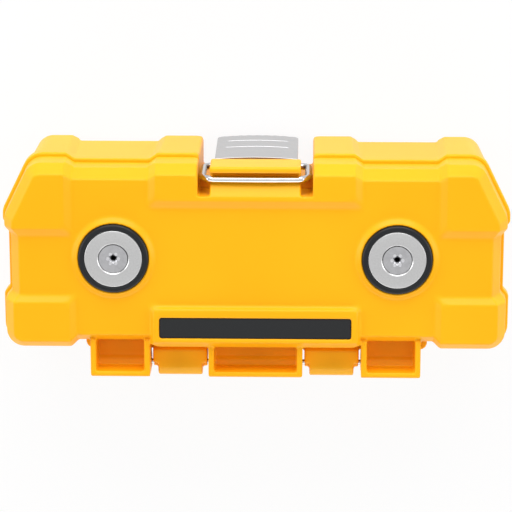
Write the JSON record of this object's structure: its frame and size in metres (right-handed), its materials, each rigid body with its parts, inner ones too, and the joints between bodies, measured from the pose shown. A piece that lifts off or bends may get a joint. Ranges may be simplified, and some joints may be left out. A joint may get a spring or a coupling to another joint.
{
  "type": "screwdriver bit set",
  "caption": "Screwdriver bits in a closed hard case with a hinged lid, a wire bail latch and two round magnets on the lid.",
  "frame": {"origin": "middle of the rear face, on which the case lies, midway between its two ends", "axes": "+X to the right, +Y towards the latch, +Z out of the lid"},
  "size_m": [0.175, 0.0794, 0.0523],
  "materials": {
    "case_plastic": "smooth moulded yellow plastic with a satin sheen",
    "stainless_sheet": "stamped stainless sheet",
    "bright_wire": "bright bent wire",
    "pin_steel": "plain steel pin",
    "black_rubber": "fine-textured black rubber",
    "black_plastic": "black moulded plastic",
    "collar_plastic": "smooth black plastic",
    "nickel_disc": "nickel-plated magnet face",
    "screw_steel": "countersunk steel screw",
    "bit_steel": "hardened steel, lightly brushed",
    "holder_sleeve": "black plastic sleeve"
  },
  "bodies": {
    "base": {"base_shell": "case_plastic", "latch_pin": "pin_steel", "bit_bar_left": "black_plastic", "bit_bar_right": "black_plastic", "long_bit_cradle": "black_plastic", "hinge_pin_left": "pin_steel", "hinge_pin_right": "pin_steel", "bit_holder_shank": "bit_steel", "bit_holder_sleeve": "holder_sleeve", "bit_holder_magnet": "nickel_disc", "bit_holder_cradle": "black_plastic", "bit_phillips_1": "bit_steel", "bit_phillips_2_a": "bit_steel", "bit_phillips_2_b": "bit_steel", "bit_phillips_2_c": "bit_steel", "bit_phillips_3": "bit_steel", "bit_pozi_2": "bit_steel", "bit_star_10": "bit_steel", "bit_star_15": "bit_steel", "bit_star_20": "bit_steel", "bit_star_25": "bit_steel", "bit_square_2": "bit_steel", "bit_slotted_6": "bit_steel", "bit_long_phillips_2_a": "bit_steel", "bit_long_phillips_2_b": "bit_steel", "bit_long_star_25": "bit_steel", "bit_long_square_2": "bit_steel"},
    "lid": {"lid_shell": "case_plastic", "grip_strip": "black_rubber", "magnet_collar_left": "collar_plastic", "magnet_collar_right": "collar_plastic", "magnet_disc_left": "nickel_disc", "magnet_disc_right": "nickel_disc", "magnet_screw_left": "screw_steel", "magnet_screw_right": "screw_steel"},
    "lever": {"latch_lever": "stainless_sheet"},
    "bail": {"latch_bail": "bright_wire"}
  },
  "joints": [
    {"name": "lid_hinge", "type": "hinge", "parent": "base", "child": "lid", "pos_m": [0, -0.0407, 0.037], "axis": [1, 0, 0], "range_deg": [0, 180]},
    {"name": "lever_pivot", "type": "hinge", "parent": "base", "child": "lever", "pos_m": [0, 0.0284, 0.0341], "axis": [1, 0, 0], "range_deg": [0, 88]},
    {"name": "bail_pivot", "type": "hinge", "parent": "lever", "child": "bail", "pos_m": [0, 0.0278, 0.0297], "axis": [1, 0, 0], "range_deg": [-78, 0]}
  ],
  "couplings": [
    {"joint": "bail_pivot", "follows": "lever_pivot", "ratio": -0.862}
  ]
}
